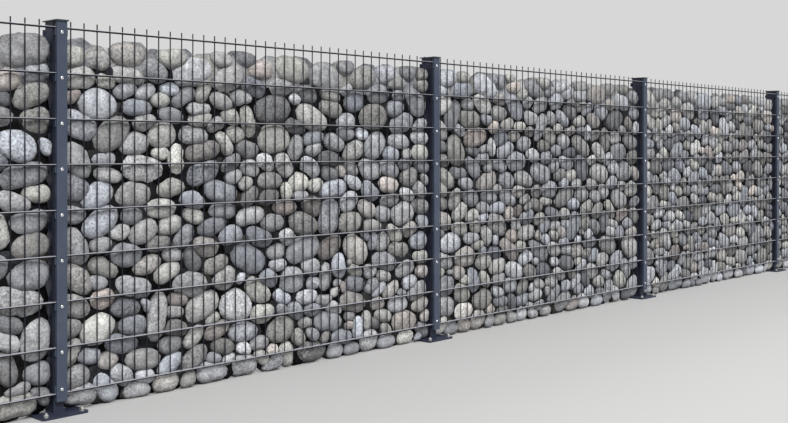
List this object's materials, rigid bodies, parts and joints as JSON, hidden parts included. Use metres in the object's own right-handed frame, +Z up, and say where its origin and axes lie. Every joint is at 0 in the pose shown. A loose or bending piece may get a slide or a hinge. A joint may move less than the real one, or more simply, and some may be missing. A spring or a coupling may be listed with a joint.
{
  "type": "gabion wall",
  "caption": "Fence-like gabion wall in bays: steel posts on base plates, double-rod mats clamped front and back, filled with river stones.",
  "frame": {"origin": "middle of the underside of the first post's base plate", "axes": "+X along the wall from the first post to the last, -Y out of the front, +Z up"},
  "size_m": [12.72, 0.21, 1.731],
  "materials": {
    "powder_coat": "anthracite powder coat, satin, slightly textured",
    "cap_coat": "anthracite powder coat, satin",
    "strip_coat": "anthracite powder coat, satin, slightly textured",
    "rod_coat": "anthracite powder coat over galvanised rods, satin",
    "river_stone": "rounded river stones, dry and matt, in light and mid greys, bluish, greenish and tan",
    "stainless_bolts": "bright stainless steel domed bolt heads",
    "zinc_nuts": "dull zinc-plated anchor nuts, studs and washers"
  },
  "bodies": {
    "root": {"base_plate_1": "powder_coat", "post_1": "powder_coat", "post_cap_1": "cap_coat", "front_strip_1": "strip_coat", "back_strip_1": "strip_coat", "base_plate_2": "powder_coat", "post_2": "powder_coat", "post_cap_2": "cap_coat", "front_strip_2": "strip_coat", "back_strip_2": "strip_coat", "base_plate_3": "powder_coat", "post_3": "powder_coat", "post_cap_3": "cap_coat", "front_strip_3": "strip_coat", "back_strip_3": "strip_coat", "base_plate_4": "powder_coat", "post_4": "powder_coat", "post_cap_4": "cap_coat", "front_strip_4": "strip_coat", "back_strip_4": "strip_coat", "base_plate_5": "powder_coat", "post_5": "powder_coat", "post_cap_5": "cap_coat", "front_strip_5": "strip_coat", "back_strip_5": "strip_coat", "base_plate_6": "powder_coat", "post_6": "powder_coat", "post_cap_6": "cap_coat", "front_strip_6": "strip_coat", "back_strip_6": "strip_coat", "front_mat_1": "rod_coat", "back_mat_1": "rod_coat", "stone_fill_1": "river_stone", "front_mat_2": "rod_coat", "back_mat_2": "rod_coat", "stone_fill_2": "river_stone", "front_mat_3": "rod_coat", "back_mat_3": "rod_coat", "stone_fill_3": "river_stone", "front_mat_4": "rod_coat", "back_mat_4": "rod_coat", "stone_fill_4": "river_stone", "front_mat_5": "rod_coat", "back_mat_5": "rod_coat", "stone_fill_5": "river_stone"}
  },
  "joints": []
}
